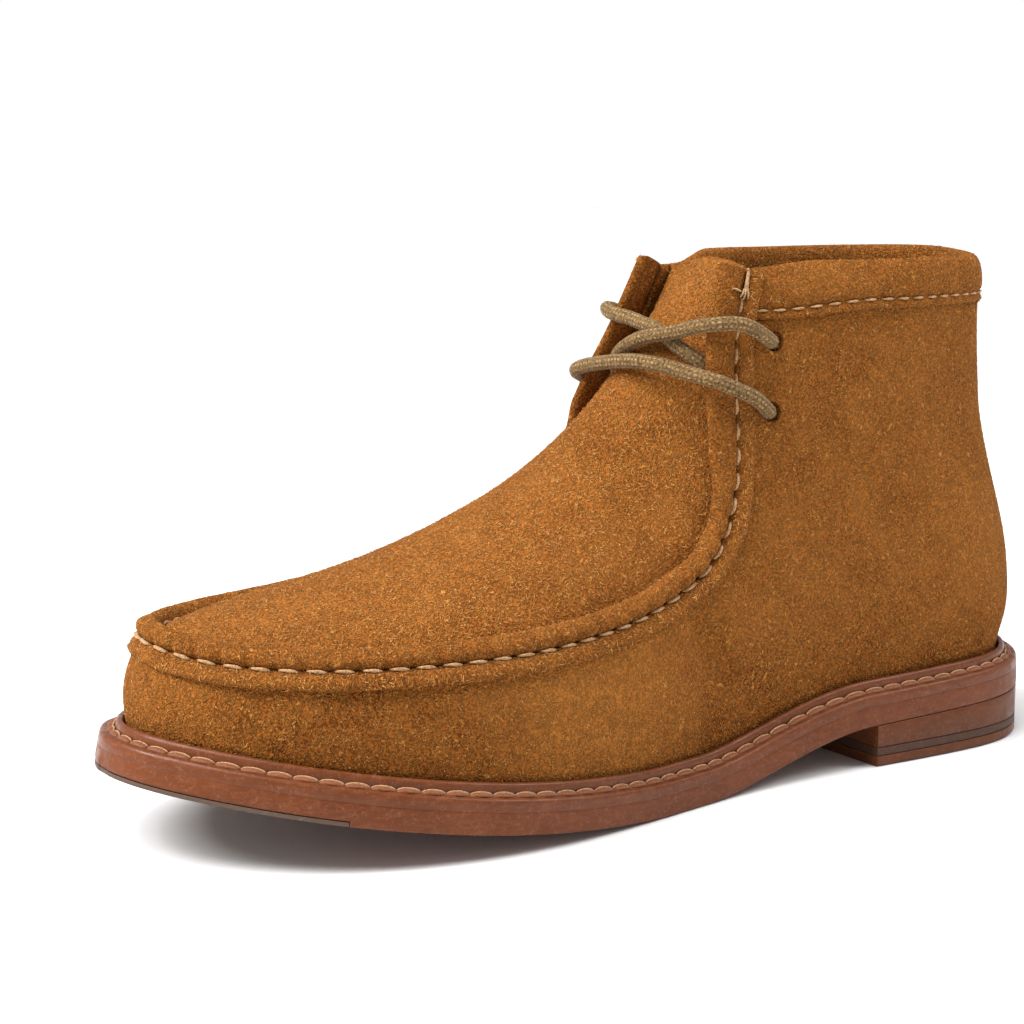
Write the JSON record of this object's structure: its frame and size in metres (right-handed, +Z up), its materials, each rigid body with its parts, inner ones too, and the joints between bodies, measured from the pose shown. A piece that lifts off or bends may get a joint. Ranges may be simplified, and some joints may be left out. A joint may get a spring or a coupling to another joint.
{
  "type": "moccasin boot",
  "caption": "Left ankle-high moccasin boot: suede upper with a rolled apron seam, laced throat, storm welt and stacked heel.",
  "frame": {"origin": "on the floor, in the middle of the boot's length and width", "axes": "+Z up, +Y from the toe towards the heel, +X towards the outer side of the left foot"},
  "size_m": [0.1067, 0.2992, 0.1475],
  "materials": {
    "suede": "napped tan suede",
    "sole_leather": "polished red-brown leather",
    "heel_dark": "matt dark layer",
    "insole_leather": "plain smooth leather",
    "lace_cord": "round woven cord"
  },
  "bodies": {
    "root": {"upper": "suede", "apron_tongue": "suede", "rolled_binding": "suede", "collar": "suede", "insole": "insole_leather", "welt": "sole_leather", "outsole": "sole_leather", "toe_plate": "heel_dark", "heel_lift": "sole_leather", "heel_band": "heel_dark", "top_piece": "sole_leather", "lace_bar": "lace_cord", "lace_crossing": "lace_cord"}
  },
  "joints": []
}
